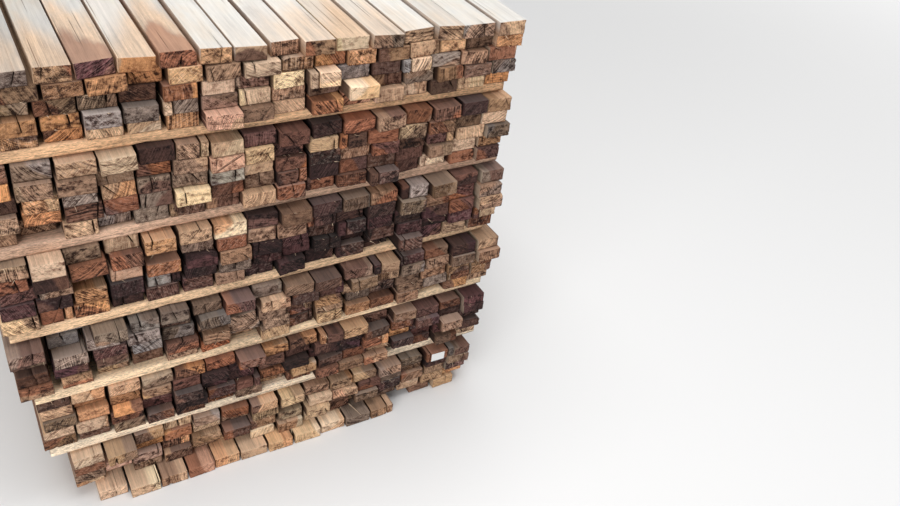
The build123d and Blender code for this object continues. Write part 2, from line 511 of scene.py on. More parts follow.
class Tree:
    """Writes a node tree, with a method for each kind of sum."""

    def __init__(self, tree):
        self.tree = tree

    def node(self, kind, values=(), **settings):
        made = self.tree.nodes.new(kind)
        for name, value in settings.items():
            setattr(made, name, value)
        for key, value in dict(values).items():
            self.feed(made.inputs[key], value)
        return made

    def feed(self, socket, value):
        if isinstance(value, Wire):
            self.tree.links.new(value.socket, socket)
        elif socket.type == "RGBA":
            socket.default_value = (*value, 1.0)
        else:
            socket.default_value = value

    def out(self, node, key=0):
        return Wire(self, node.outputs[key])

    def math(self, operation, *values):
        return self.out(self.node("ShaderNodeMath", enumerate(values), operation=operation))

    def vector_math(self, operation, *values):
        made = self.node("ShaderNodeVectorMath", enumerate(values), operation=operation)
        return self.out(made, "Value" if operation == "LENGTH" else "Vector")

    def scaled(self, vector, factor):
        """A place moved, or a colour made lighter or darker, by a factor that may pass one."""
        made = self.node("ShaderNodeVectorMath", {"Vector": vector, "Scale": factor}, operation="SCALE")
        return self.out(made, "Vector")

    def summed(self, *vectors):
        """The sum of two or more places."""
        total = vectors[0]
        for vector in vectors[1:]:
            total = self.vector_math("ADD", total, vector)
        return total

    def split(self, vector):
        made = self.node("ShaderNodeSeparateXYZ", {0: vector})
        return [self.out(made, key) for key in range(3)]

    def joined(self, x, y, z):
        return self.out(self.node("ShaderNodeCombineXYZ", {0: x, 1: y, 2: z}))

    def smallest(self, a, b):
        return self.math("MINIMUM", a, b)

    def largest(self, a, b):
        return self.math("MAXIMUM", a, b)

    def size_of(self, a):
        return self.math("ABSOLUTE", a)

    def held(self, a, low=0.0, high=1.0):
        """The value kept between low and high."""
        return self.smallest(self.largest(a, low), high)

    def ramp(self, a, low, high):
        """Nothing up to low, one from high on, and smooth between them."""
        made = self.node("ShaderNodeMapRange", {0: a, 1: low, 2: high}, interpolation_type="SMOOTHSTEP")
        return self.out(made)

    def noise(self, place, scale=1.0, detail=2.0, roughness=0.5):
        values = {"Vector": place, "Scale": scale, "Detail": detail, "Roughness": roughness}
        return self.out(self.node("ShaderNodeTexNoise", values), 0)

    def grain(self, place, kind):
        """Noise drawn out into the marks of one kind of grain."""
        marks, detail, roughness = grains[kind]
        return self.noise(self.vector_math("MULTIPLY", place, marks), 1, detail, roughness)

    def swing(self, noise, weight):
        """How far a noise is from its middle, times its weight."""
        return (noise - 0.5) * weight

    def swings(self, middle, marks, weights):
        """A middle value and the swings of several marks about it, each with its own weight."""
        return sum((self.swing(marks[kind], weight) for kind, weight in weights.items()), middle)

    def weighed(self, least, marks, weights):
        """A least value and several marks on top of it, each with its own weight."""
        return sum((marks[kind] * weight for kind, weight in weights.items()), least)

    def mixed(self, factor, a, b):
        """A colour between a and b."""
        return self.out(self.node("ShaderNodeMix", {0: factor, 6: a, 7: b}, data_type="RGBA"), 2)

    def darkened(self, colour, factor):
        """The colour made darker, and redder with it, as wet or shaded wood is."""
        return self.vector_math("MULTIPLY", colour, tuple(share * factor for share in darkening))


class Shape(Tree):
    """A tree of geometry nodes with named inputs."""

    def __init__(self, name, inputs):
        super().__init__(bpy.data.node_groups.new(name, "GeometryNodeTree"))
        sockets = self.tree.interface
        for way in ("OUTPUT", "INPUT"):
            sockets.new_socket("Geometry", in_out=way, socket_type="NodeSocketGeometry")
        self.identifiers = {}
        for label, kind in inputs.items():
            self.identifiers[label] = sockets.new_socket(label, in_out="INPUT", socket_type=kind).identifier
        self.source = self.tree.nodes.new("NodeGroupInput")

    def given(self, label):
        return self.out(self.source, label)

    def read(self, name, kind="FLOAT_VECTOR"):
        return self.out(self.node("GeometryNodeInputNamedAttribute", {"Name": name}, data_type=kind))

    def parts(self, name):
        """The three numbers of an attribute."""
        return self.split(self.read(name))

    def store(self, geometry, name, value, kind="FLOAT_VECTOR", domain="POINT"):
        values = {"Geometry": geometry, "Name": name, "Value": value}
        return self.out(self.node("GeometryNodeStoreNamedAttribute", values, data_type=kind, domain=domain))

    def painted(self, geometry, material, where=True):
        values = {"Geometry": geometry, "Selection": where, "Material": material}
        return self.out(self.node("GeometryNodeSetMaterial", values))

    def finish(self, geometry):
        end = self.tree.nodes.new("NodeGroupOutput")
        self.feed(end.inputs["Geometry"], geometry)
        return self


def in_scene(name, data):
    """A new object in the scene, made of a mesh, a light or a camera."""
    made = bpy.data.objects.new(name, data)
    bpy.context.scene.collection.objects.link(made)
    return made


def grown(name, mesh, shape, values):
    """The mesh that a shape tree makes from the given one, as a plain object."""
    piece = in_scene(name, mesh)
    modifier = piece.modifiers.new(shape.tree.name, "NODES")
    modifier.node_group = shape.tree
    for label, value in values.items():
        modifier[shape.identifiers[label]] = value
    graph = bpy.context.evaluated_depsgraph_get()
    ready = piece.evaluated_get(graph)
    made = bpy.data.meshes.new_from_object(ready, preserve_all_data_layers=True, depsgraph=graph)
    piece.modifiers.remove(modifier)
    piece.data = made
    made.name = name
    return piece


def crowded(share, crowding):
    """A place from -1 to 1, moved towards the nearer end."""
    return math.copysign(1 - (1 - abs(share)) ** crowding, share)


def islands(node):
    """The corners of each separate solid in a node."""
    mesh = node.data
    points = np.zeros(len(mesh.vertices) * 3)
    mesh.vertices.foreach_get("co", points)
    points = np.round(points.reshape(-1, 3), weld_decimals)
    keys, owners = np.unique(points, axis=0, return_inverse=True)
    owners = owners.ravel()
    root = list(range(len(keys)))

    def leader(index):
        while root[index] != index:
            root[index] = root[root[index]]
            index = root[index]
        return index

    for polygon in mesh.polygons:
        first, *others = [leader(owners[index]) for index in polygon.vertices]
        for other in others:
            root[leader(other)] = leader(first)
    groups = {}
    for index in range(len(keys)):
        groups.setdefault(leader(index), []).append(keys[index])
    found = [np.array(group) for group in groups.values()]
    return sorted(found, key=lambda group: group[:, 0].mean())


def wane_of(section):
    """The waney side of an upright section, -1 or 1, and how far the wane cuts across and down."""
    low, high = section.min(0), section.max(0)
    top = section[section[:, 1] > high[1] - flush, 0]
    wane = (0, 0.0, 0.0)
    for side, edge, corner in ((-1, low[0], top.min()), (1, high[0], top.max())):
        cut = abs(edge - corner)
        if cut > least_wane:
            beside = section[abs(section[:, 0] - edge) < flush]
            wane = (side, cut, high[1] - beside[:, 1].max())
    return wane


def measured(corners):
    """A batten's or board's sizes, place and lean, and the slant of its front, from its corners."""
    outline = {}
    for x, y, z in corners:
        key = (round(x, outline_decimals), round(z, outline_decimals))
        low, high = outline.get(key, (y, y))
        outline[key] = (min(low, y), max(high, y))
    section = np.array(list(outline))
    ends = np.array(list(outline.values()))
    length = float(np.mean(ends[:, 1] - ends[:, 0]))
    feet = section[section[:, 1] < section[:, 1].min() + foot_share * np.ptp(section[:, 1])]
    left_foot, right_foot = feet[feet[:, 0].argmin()], feet[feet[:, 0].argmax()]
    lean = math.atan2(right_foot[1] - left_foot[1], right_foot[0] - left_foot[0])
    cosine, sine = math.cos(lean), math.sin(lean)
    upright = section @ np.array([[cosine, -sine], [sine, cosine]])
    low, high = upright.min(0), upright.max(0)
    width, thickness = high - low
    across, up = (low + high) / 2
    centre_x, centre_z = across * cosine - up * sine, across * sine + up * cosine
    slants = np.column_stack([np.ones(len(section)), section[:, 0] - centre_x, section[:, 1] - centre_z])
    front, skew, rake = np.linalg.lstsq(slants, ends[:, 0], rcond=None)[0]
    return {
        "centre": (centre_x, front, centre_z), "size": (width, length, thickness),
        "lean": (lean, skew, rake), "wane": wane_of(upright),
    }


def crack_values(draw, chance, faces, half, most_slant):
    """A check's line of faces, place and slant, then its gap and depth, then its run, reach and side."""
    if draw.random() > chance:
        return no_check
    margin = check_margins[faces]
    line = draw.randint(margin, faces - margin)
    place = crowded(2 * line / faces - 1, crowding_at_edges) * half
    slant = most_slant * draw.choice((draw.uniform(-usual_slant, usual_slant), draw.uniform(-1, 1)))
    gap = min(draw.uniform(*check_gap), widest_check * half)
    sizes = (gap, draw.uniform(*check_depth), 0.0)
    ends = (draw.uniform(*check_run), draw.uniform(*check_reach), draw.choice(check_sides))
    return (line, place, slant), sizes, ends


def tone_of(draw, tier, row, share):
    """The colour of a batten's wood, by where it lies in the stack."""
    kinds = usual_tones
    for zone_tier, first_row, last_row, left, right, mix in tone_zones:
        if tier == zone_tier and first_row <= row <= last_row and left <= share <= right:
            kinds = mix
    return draw.choice(kinds.split())


def tone_and_brightness(draw, tier, row, place, count):
    """The colour of a batten's wood and how bright it is, with the battens that are set one by one."""
    share, half_a_batten = (place + 0.5) / count, 0.5 / count
    kind = tone_of(draw, tier, row, share)
    brightness = draw.uniform(*brightness_of_battens)
    for column_tier, column_share, column_kinds in tone_columns:
        if tier == column_tier and abs(share - column_share) < half_a_batten:
            kind = column_kinds.split()[row - 1]
            brightness = brightness_in_columns[0] + brightness * brightness_in_columns[1]
    for odd_tier, odd_row, odd_share, odd_kind in odd_tones:
        if (tier, row) == (odd_tier, odd_row) and abs(share - odd_share) < half_a_batten:
            kind = odd_kind
    if (tier, row) == (1, 1):
        kind = ground_row[min(place, len(ground_row) - 1)]
        brightness = brightness_on_ground[0] + brightness * brightness_on_ground[1]
    return kind, brightness


def batten_looks(tier, row, place, count, sizes):
    """What the shape and the materials need to know of one batten beyond its sizes."""
    draw = Random(f"looks {tier} {row} {place}")
    width, _, thickness = sizes["size"]
    in_sun = (tier, row) == (tiers, rows_per_tier)
    kind, brightness = tone_and_brightness(draw, tier, row, place, count)
    stain = 0.0 if place in (0, count - 1) else 1.0
    if in_sun:
        kind, stain, dullness, sun_warmth = top_row[min(place, len(top_row) - 1)]
    warmth = draw.uniform(*warmth_of_battens)
    bluest = most_blue_of_dark if kind in dark_tones else most_blue
    coolness = Random(f"hue {tier} {row} {place}").uniform(least_blue, bluest)
    red, green, blue = [value * brightness for value in tones[kind]]
    angle = draw.uniform(0, 2 * math.pi)
    distance = draw.uniform(*pith_distance)
    check = crack_values(draw, check_chance, faces_across, width / 2, check_slant)
    level = crack_values(draw, level_check_chance, faces_up, thickness / 2, level_check_slant)
    heart = tones[draw.choice(heart_tones[kind].split())]
    film = draw.random() ** 2 * most_film
    heart_distance = distance + draw.uniform(-heart_edge, heart_edge)
    film_warmth = draw.random()
    if in_sun:
        film, film_warmth = dullness, sun_warmth
    return {
        "tone": (red * (1 + warmth), green, blue * (1 - warmth + coolness)),
        "heart": tuple(value * brightness for value in heart),
        "weather": (film, heart_distance, film_warmth),
        "pith": (distance * math.cos(angle), draw.uniform(0, pith_range), distance * math.sin(angle)),
        "seed": tuple(draw.uniform(0, seed_range) for _ in range(3)),
        "saw": (draw.uniform(-saw_slant, saw_slant), draw.uniform(*saw_strength), stain),
        "check": check[0], "check_gap": check[1], "check_ends": check[2],
        "level": level[0], "level_gap": level[1], "level_ends": level[2],
        "cut": tuple(draw.random() for _ in range(3)),
    }


def seed_mesh(name, battens):
    """One point for each batten, with all that is known of it."""
    mesh = bpy.data.meshes.new(name)
    mesh.from_pydata([(0, 0, 0)] * len(battens), [], [])
    for key, first in battens[0].items():
        kind, part = ("FLOAT_VECTOR", "vector") if isinstance(first, tuple) else ("FLOAT", "value")
        values = np.array([batten[key] for batten in battens], float)
        mesh.attributes.new(key, kind, "POINT").data.foreach_set(part, values.ravel())
    return mesh


def unit_block(shape, faces, crowdings, end_axis):
    """A block of faces from -1 to 1, with its places and lines of faces stored on its points."""
    counts = {f"Vertices {axis}": count + 1 for axis, count in zip("XYZ", faces)}
    block = shape.out(shape.node("GeometryNodeMeshCube", counts))
    position = shape.split(shape.out(shape.node("GeometryNodeInputPosition")))
    shares = []
    for value, crowding in zip(position, crowdings):
        near = shape.math("POWER", 1 - shape.size_of(value * 2), crowding)
        shares.append(shape.math("SIGN", value) * (1 - near))
    block = shape.store(block, "place", shape.joined(*shares))
    lines = [(value + 0.5) * count for value, count in zip(position, faces)]
    block = shape.store(block, "lines", shape.joined(*lines))
    normal = shape.split(shape.out(shape.node("GeometryNodeInputNormal")))
    return shape.store(block, "end_face", shape.size_of(normal[end_axis]) > 0.5, "FLOAT", "FACE")


def rounded(shape, across, along, up, size):
    """Rounds off the edges and corners, more in some places than in others."""
    width, length, thickness = size
    worn = shape.grain(shape.summed(shape.joined(across, along, up), shape.read("seed")), "worn_edges")
    radius = shape.given("Edge radius") * (edge_wear[0] + worn * edge_wear[1])
    core_across = shape.held(across, radius - width * 0.5, width * 0.5 - radius)
    core_along = shape.held(along, radius, length - radius)
    core_up = shape.held(up, radius - thickness * 0.5, thickness * 0.5 - radius)
    off = shape.joined(across - core_across, along - core_along, up - core_up)
    off = shape.split(shape.scaled(shape.vector_math("NORMALIZE", off), radius))
    return core_across + off[0], core_along + off[1], core_up + off[2]


def waned(shape, across, up, half_across, half_up):
    """Rounds off the top edge on the waney side."""
    side, cut_across, cut_down = shape.parts("wane")
    deep_across = shape.largest(cut_across, hair)
    deep_down = shape.largest(cut_down, hair)
    inside_a = shape.held(1 - (half_across - side * across) / deep_across)
    inside_b = shape.held(1 - (half_up - up) / deep_down)
    squeeze = shape.largest(inside_a, inside_b) / shape.largest(inside_a + inside_b, hair)
    low_a, low_b = inside_a * squeeze, inside_b * squeeze
    bulge = low_a * low_b * wane_bulge
    waney = (cut_across > least_wane) * (shape.smallest(inside_a, inside_b) > 0)
    across = across - side * deep_across * (inside_a - low_a - bulge) * waney
    up = up - deep_down * (inside_b - low_b - bulge) * waney
    return across, up


def checked(shape, kind, line, across, up, half_across, half_up, end_distance):
    """Opens a check along one line of faces: the places across and up, and how far its bottom lies in."""
    number, centre, slant = shape.parts(kind)
    width, depth, _ = shape.parts(f"{kind}_gap")
    run, reach, start = shape.parts(f"{kind}_ends")
    there = depth > 0
    away = shape.size_of(line - number)
    pull = shape.held(1 - (away - 1) / lines_pulled) * there
    share_up = up / half_up * 0.5
    reached = shape.held((share_up * start + 0.5 - 1 + reach) / check_taper)
    near_end = shape.held(1 - end_distance / run)
    opened = shape.largest(width * 0.5 * near_end * reached, closed_check)
    lip = (away < 1.5) * there
    on_line = centre + slant * up + (line - number) * opened
    across = across + pull * slant * up
    across = across + lip * (on_line - across)
    across = shape.held(across, -1 * half_across, half_across)
    bottom = (away < 0.5) * there * reached
    inward = bottom * depth * shape.held(1 - end_distance / bottom_zone)
    up = up * (1 - bottom * near_end * bottom_rise)
    return across, up, inward


def blocks_on_points(shape, classes, end_axis):
    """A block of faces on each point of the seed mesh, by the point's class."""
    join = shape.tree.nodes.new("GeometryNodeJoinGeometry")
    for number, (faces, crowdings) in enumerate(classes):
        block = unit_block(shape, faces, crowdings, end_axis)
        chosen = shape.size_of(shape.read("class", "FLOAT") - number) < 0.5
        values = {"Points": shape.given("Geometry"), "Selection": chosen, "Instance": block}
        placed = shape.out(shape.node("GeometryNodeInstanceOnPoints", values))
        shape.tree.links.new(placed.socket, join.inputs[0])
    return shape.out(shape.node("GeometryNodeRealizeInstances", {0: shape.out(join)}))


def batten_shape(classes, end_axis, name):
    """Battens or boards with rounded edges, rough faces, chipped rims, wane and checks."""
    inputs = {label: "NodeSocketFloat" for label in surface_sizes}
    shape = Shape(name, {**inputs, "Long grain": "NodeSocketMaterial", "End grain": "NodeSocketMaterial"})
    solid = blocks_on_points(shape, classes, end_axis)
    place, lines, size = [shape.parts(name) for name in ("place", "lines", "size")]
    seed = shape.read("seed")
    width, length, thickness = size
    half_width, half_thickness = width * 0.5, thickness * 0.5
    end = shape.math("SIGN", place[1])
    across, along, up = place[0] * half_width, (place[1] + 1) * length * 0.5, place[2] * half_thickness
    across, along, up = rounded(shape, across, along, up, size)

    stretched = [value * factor for value, factor in zip((place[0], along, place[2]), face_stretch)]
    long_place = shape.summed(shape.joined(*stretched), seed)
    roughness = shape.given("Face roughness")
    across = across * (1 - roughness * shape.grain(long_place, "rough_faces") / width * 2)
    other_place = shape.summed(long_place, other_face)
    up = up * (1 - roughness * shape.grain(other_place, "rough_faces") / thickness * 2)
    across, up = waned(shape, across, up, half_width, half_thickness)

    end_distance = shape.smallest(along, length - along)
    rim = shape.smallest(half_width - shape.size_of(across), half_thickness - shape.size_of(up))
    rimness = shape.held(1 - rim / shape.given("Chip width")) * shape.held(1 - end_distance / chip_reach)
    fine_place = shape.summed(shape.joined(across, end, up), seed)
    chips = shape.ramp(shape.grain(fine_place, "chips"), *chip_range) * rimness * shape.given("Chip depth")
    relief = shape.grain(fine_place, "rough_ends") * shape.given("End roughness")
    near_cap = shape.held(1 - end_distance / end_depth)
    across, up, deep = checked(shape, "check", lines[0], across, up, half_width, half_thickness, end_distance)
    up, across, flat_deep = checked(
        shape, "level", lines[2], up, across, half_thickness, half_width, end_distance)
    along = along - end * (deep + flat_deep + chips + relief * near_cap)
    across = across - shape.math("SIGN", across) * chips * chip_aside
    up = up - shape.math("SIGN", up) * chips * chip_aside

    lean, skew, rake = shape.parts("lean")
    cosine, sine = shape.math("COSINE", lean), shape.math("SINE", lean)
    side, rise = across * cosine - up * sine, across * sine + up * cosine
    moved = shape.summed(shape.joined(side, along + skew * side + rake * rise, rise), shape.read("centre"))
    grain_place = shape.joined(across, along, up) if end_axis == 1 else shape.joined(along, across, up)
    known = {
        "wood_place": shape.summed(grain_place, shape.read("pith")),
        "batten_place": shape.joined(across, end_distance + deep + flat_deep, up),
        "rims": shape.joined(half_width - shape.size_of(across), half_thickness - up, half_thickness + up),
    }
    for key, value in known.items():
        solid = shape.store(solid, key, value)
    solid = shape.out(shape.node("GeometryNodeSetPosition", {"Geometry": solid, "Position": moved}))
    solid = shape.out(shape.node("GeometryNodeSetShadeSmooth", {"Geometry": solid}))
    solid = shape.painted(solid, shape.given("Long grain"))
    solid = shape.painted(solid, shape.given("End grain"), shape.read("end_face", "FLOAT") > 0.5)
    return shape.finish(solid)


def material(name, dullness):
    """A new material with a tree to write and its shader."""
    made = bpy.data.materials.new(name)
    made.use_nodes = True
    shader = made.node_tree.nodes["Principled BSDF"]
    shader.inputs["Specular IOR Level"].default_value = gloss
    shader.inputs["Roughness"].default_value = dullness
    return made, Tree(made.node_tree), shader


def plain_material(name, colour, dullness):
    """A new material of one colour."""
    made, _, shader = material(name, dullness)
    shader.inputs["Base Color"].default_value = (*colour, 1)
    return made


def attribute(tree, name):
    return tree.out(tree.node("ShaderNodeAttribute", attribute_name=name), "Vector")


def raised(tree, shader, height, distance):
    """Bump on the shader, from a height between nothing and one."""
    values = {"Height": height, "Distance": distance, "Strength": 1.0}
    tree.feed(shader.inputs["Normal"], tree.out(tree.node("ShaderNodeBump", values)))


def from_pith(tree, place, kind, wander):
    """How far each spot is from the pith, which runs along the batten, with a wandering edge."""
    x, _, z = tree.split(place)
    return tree.vector_math("LENGTH", tree.joined(x, 0.0, z)) + tree.swing(tree.grain(place, kind), wander)


def wood_tone(tree, place):
    """The batten's own colour: one tone for the heart of the log and another for the rest."""
    heart_distance = tree.split(attribute(tree, "weather"))[1]
    inside = heart_distance - from_pith(tree, place, "heart_edge", heart_wander)
    heart = tree.ramp(inside, -heart_blur, heart_blur) * heart_strength
    return tree.mixed(heart, attribute(tree, "tone"), attribute(tree, "heart"))


def growth_rings(tree, place, spacing):
    """Uneven rings about the pith."""
    x, y, z = tree.split(place)
    outward = from_pith(tree, place, "ring_wander", ring_wander) / spacing
    around = tree.math("ARCTAN2", x, z) * ring_around
    return tree.noise(tree.joined(outward, y * ring_along, around), 1, *ring_detail)


def film_in_sun(tree, film, weather, upward, bleach):
    """The bleached film on the open top row, and how much of it there is."""
    film = tree.mixed(weather[2] * weather[2] * straw_strength, film, straw_film)
    up = tree.split(attribute(tree, "batten_place"))[2]
    amount = tree.largest(upward, tree.ramp(up, *bleached_sides) * bleached_side_strength)
    # The dullness darkens the film: partly dull weathering, partly painted shade on the left battens
    return tree.scaled(film, 1 - weather[0]), amount * bleach


def rain_stained(tree, colour, light, marks):
    """Fades the ends of the top row, stains them from the cut inwards, and leaves dirt in patches."""
    across, end_distance, _ = tree.split(attribute(tree, "batten_place"))
    slant, redness, stain = tree.split(attribute(tree, "saw"))
    blotches = marks["side_blotches"]
    reach = (stain * stain_reach[1] + stain_reach[0]) * (stain_wander[0] + blotches * stain_wander[1])
    reach = reach - tree.size_of(across - slant * stain_aside) * stain_point
    faded = tree.ramp(reach + fade_beyond - end_distance, *fade_range) * tree.held(stain * fade_onset)
    colour = tree.mixed(faded * fade_strength, colour, tree.scaled(faded_wood, light))
    mask = tree.ramp(reach - end_distance, *stain_range) * tree.ramp(stain, *stain_onset)
    stained = tree.mixed(redness, red_stain, brown_stain)
    stained = tree.mixed(mask * (1 - mask) * stain_edge_strength, stained, stain_edge)
    stained = tree.scaled(stained, tree.weighed(stain_darkest, marks, stain_light))
    colour = tree.mixed(mask * stain_strength, colour, stained)
    dirt = tree.ramp(blotches, *dirt_range) * dirt_strength
    return tree.mixed(dirt, colour, tree.scaled(dirty_wood, light))


def greyed_and_shaded(tree, colour, pale, blotches, normal, upward):
    """Greys the outside of the stack, and darkens the sides of the battens inside it with painted shade."""
    sheltered = tree.split(attribute(tree, "saw"))[2]
    outside = tree.ramp(tree.size_of(normal[0]), *facing_out) * (1 - sheltered)
    outside = outside * (outside_patches[0] + blotches * outside_patches[1])
    colour = tree.mixed(tree.held(outside), colour, tree.scaled(grey_outside, pale))
    # Painted shade: the sides and undersides of the inner battens darken from a few millimetres behind their
    # ends
    inside = tree.ramp(tree.split(attribute(tree, "batten_place"))[1], *gap_shade_range) * (1 - upward)
    return tree.mixed(inside * sheltered * gap_shade_strength, colour, tree.darkened(colour, gap_shade_darkness))


def long_grain_material(name, bleach, in_sun, fuzz):
    """The sawn faces: streaks along the grain, saw marks across it, torn fuzz, weathering on top, and painted
    shade on the sides inside the stack.
    """
    made, tree, shader = material(name, side_dullness)
    place = attribute(tree, "wood_place")
    tone = wood_tone(tree, place)
    weather = tree.split(attribute(tree, "weather"))
    marks = {kind: tree.grain(place, kind) for kind in ("streaks", "fibres", "side_blotches", "fuzz")}
    marks["rings"] = growth_rings(tree, place, ring_spacing_of_sides)
    blotches = marks["side_blotches"]
    light = tree.largest(tree.swings(side_middle, marks, {**side_light, "fuzz": fuzz}), side_darkest)
    pale = tree.swings(film_middle, marks, film_light)
    normal = tree.split(tree.out(tree.node("ShaderNodeNewGeometry"), "Normal"))
    upward = tree.ramp(normal[2], *facing_up)
    film = tree.mixed(tree.ramp(blotches, *film_blotches) * film_mix, silver_film, warm_film)
    if in_sun:
        film, amount = film_in_sun(tree, film, weather, upward, bleach)
    else:
        film = tree.mixed(film_from_tone, film, tree.scaled(tone, film_of_tone))
        amount = upward * (bleach + weather[0])
    amount = tree.held(amount * (film_patches[0] + blotches * film_patches[1]))
    colour = tree.mixed(amount, tree.scaled(tone, light), tree.scaled(film, pale))
    if in_sun:
        colour = rain_stained(tree, colour, light, marks)
    else:
        colour = greyed_and_shaded(tree, colour, pale, blotches, normal, upward)
    cracks = tree.ramp(tree.grain(place, "side_cracks"), *(cracks_in_sun if in_sun else cracks_in_shade))
    colour = tree.mixed(cracks * crack_strength, colour, tree.darkened(tone, crack_darkness))
    tree.feed(shader.inputs["Base Color"], colour)
    marks["chatter"] = tree.noise(tree.joined(tree.split(place)[1] * chatter_scale, marks["streaks"], 0.0))
    marks["cracks"] = cracks
    raised(tree, shader, tree.weighed(0.0, marks, side_bumps), side_bump)
    return made


def saw_marks(tree, place, slant, strength):
    """The slanting marks of the saw on an end, lighter and darker than nothing."""
    across, _, up = tree.split(attribute(tree, "batten_place"))
    cosine, sine = tree.math("COSINE", slant), tree.math("SINE", slant)
    turned = (across * cosine + up * sine, up * cosine - across * sine, tree.split(place)[1])
    scaled = [value * scale for value, scale in zip(turned, saw_scales)]
    return tree.swing(tree.noise(tree.joined(*scaled), 1, *saw_detail), strength) * strength


def rim_highlight_and_shade(tree, colour, tone, patches, specks, blotches):
    """Pale torn fibres and a painted highlight along the top rim, and painted shade along the sides and the
    bottom.
    """
    side_rim, top_rim, low_rim = tree.split(attribute(tree, "rims"))
    # Pale torn fibres and a painted highlight along the top rim
    fibres_and_highlight = 1 - tree.ramp(top_rim, *fibres_and_highlight_depth)
    fibres_and_highlight = fibres_and_highlight * tree.ramp(patches + tree.swing(specks, fibres_and_highlight_wander), *fibres_and_highlight_range)
    colour = tree.mixed(fibres_and_highlight * fibres_and_highlight_strength, colour, tree.scaled(tone, fibres_and_highlight_light))
    # Painted shade along the bottom and the sides of each end
    rim_shade = 1 - tree.ramp(tree.smallest(low_rim, side_rim + rim_shade_depth[0]), *rim_shade_depth)
    rim_shade = rim_shade * tree.ramp(blotches, *rim_shade_range)
    return tree.mixed(rim_shade * rim_shade_strength, colour, tree.darkened(tone, rim_shade_darkness))


def end_grain_material(name):
    """The sawn ends: growth rings, slanting saw marks, stains, torn fibres and dark hairline checks, with a
    painted highlight on the top rim and painted shade on the other rims and in the checks.
    """
    made, tree, shader = material(name, end_dullness)
    place = attribute(tree, "wood_place")
    x, y, z = tree.split(place)
    tone = wood_tone(tree, place)
    slant, strength, _ = tree.split(attribute(tree, "saw"))
    film, _, stained = tree.split(attribute(tree, "weather"))
    torn, ringed, patchy = tree.split(attribute(tree, "cut"))
    blotches, patches, specks = [tree.grain(place, kind) for kind in ("end_blotches", "patches", "specks")]
    rings = growth_rings(tree, place, ring_spacing_of_ends)
    sawn = saw_marks(tree, place, slant, strength)
    ray_place = tree.joined(tree.math("ARCTAN2", x, z) * ray_scales[0], y, blotches * ray_scales[1])
    rays = tree.noise(ray_place, 1, *ray_detail) + tree.swing(patches, ray_wander)
    hairlines = tree.ramp(rays, *hairline_range) * tree.ramp(ringed, *hairline_onset)

    relief = tree.swing(rings, ring_contrast[0] + ringed * ringed * ring_contrast[1]) + sawn * saw_contrast
    relief = relief + tree.swing(specks, speck_contrast[0] + torn * torn * torn * speck_contrast[1])
    spots = tree.swing(blotches, blotch_contrast) + tree.swing(patches, patch_contrast)
    relief = relief + spots * (least_patchy + patchy)
    liveliness = liveliness_of_dark - tree.ramp(tree.split(tone)[1], *lively_tones) * liveliness_lost
    light = tree.largest(relief * liveliness + end_middle, end_darkest)
    colour = tree.scaled(tone, light)
    shadow = (1 - tree.ramp(light, *shadow_range)) * shadow_strength
    colour = tree.mixed(shadow, colour, tree.darkened(colour, shadow_darkness))
    stain = tree.ramp(blotches + tree.swing(patches, end_stain_wander), *end_stain_range)
    colour = tree.mixed(stain * end_stain_strength * stained, colour, tree.darkened(tone, end_stain_darkness))
    flecks = tree.ramp(specks + sawn * fleck_saw, *fleck_range)
    flecks = flecks * (fleck_strength[0] + torn * fleck_strength[1])
    colour = tree.mixed(flecks, colour, tree.mixed(fleck_mix, tree.scaled(colour, fleck_light), pale_fibres))
    grey_film = tree.ramp(patches, *grey_range) * grey_strength * film
    colour = tree.mixed(grey_film, colour, tree.scaled(grey_ends, light))
    colour = rim_highlight_and_shade(tree, colour, tone, patches, specks, blotches)
    colour = tree.mixed(hairlines * hairline_strength, colour, tree.darkened(tone, hairline_darkness))
    # Painted shade at the bottom of the checks, darker deeper in
    deep = tree.ramp(tree.split(attribute(tree, "batten_place"))[1], *check_shade_range)
    colour = tree.mixed(deep * check_shade_strength, colour, check_shade)
    tree.feed(shader.inputs["Base Color"], colour)
    bumps = {"sawn": sawn, "rings": rings, "specks": specks, "hairlines": hairlines}
    raised(tree, shader, tree.weighed(0.0, bumps, end_bumps), end_bump)
    return made


def place_piece(piece, node):
    """Puts a finished piece in the place of its node."""
    attributes = piece.data.attributes
    for name in [item.name for item in attributes if not (item.is_internal or item.is_required)]:
        if name not in needed and attributes[name].domain != "CORNER":
            attributes.remove(attributes[name])
    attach(piece, "root")
    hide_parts(node)


def shape_values(sides):
    """What a shape tree is given: the sizes of the rough surface and the two materials."""
    return {**surface_sizes, "Long grain": materials[sides], "End grain": materials["batten_ends"]}


def lay_row(tier, row):
    """Makes the battens of one row in the place of their node, and gives what is known of them."""
    node = f"tier_{tier}_row_{row}"
    in_sun = (tier, row) == (tiers, rows_per_tier)
    found = [measured(corners) for corners in islands(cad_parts[node])]
    battens = []
    for place, sizes in enumerate(found):
        looks = batten_looks(tier, row, place, len(found), sizes)
        kind = "open" if in_sun else "outer" if place in (0, len(found) - 1) else "inner"
        looks["class"] = float(kinds_of_batten.index(kind))
        battens.append({**sizes, **looks})
    values = shape_values("top_row_sides" if in_sun else "batten_sides")
    row_piece = grown(f"battens_{tier}_{row}", seed_mesh(node, battens), detailed_battens, values)
    place_piece(row_piece, node)
    return battens


def lay_boards(level):
    """Makes the cross boards of one level in the place of their node, and gives the foremost one's front."""
    node = f"cross_boards_{level}"
    found = [measured(corners) for corners in islands(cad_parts[node])]
    found.sort(key=lambda sizes: sizes["centre"][1])
    boards = []
    for place, sizes in enumerate(found):
        looks = batten_looks(*row_like_boards, place, len(found), sizes)
        draw = Random(f"board {level} {place}")
        looks["saw"] = (*looks["saw"][:2], 0.0)
        looks["tone"] = board_tones[level - 1] if place == 0 else tones[draw.choice(hidden_board_tones)]
        looks["heart"] = tones["pale"]
        looks["class"] = 0.0
        looks["check_gap"] = looks["level_gap"] = (0.0, 0.0, 0.0)
        boards.append({**sizes, **looks})
    values = shape_values("board_sides")
    board_piece = grown(f"boards_{level}", seed_mesh(node, boards), detailed_boards, values)
    place_piece(board_piece, node)
    return found[0]["centre"][1]


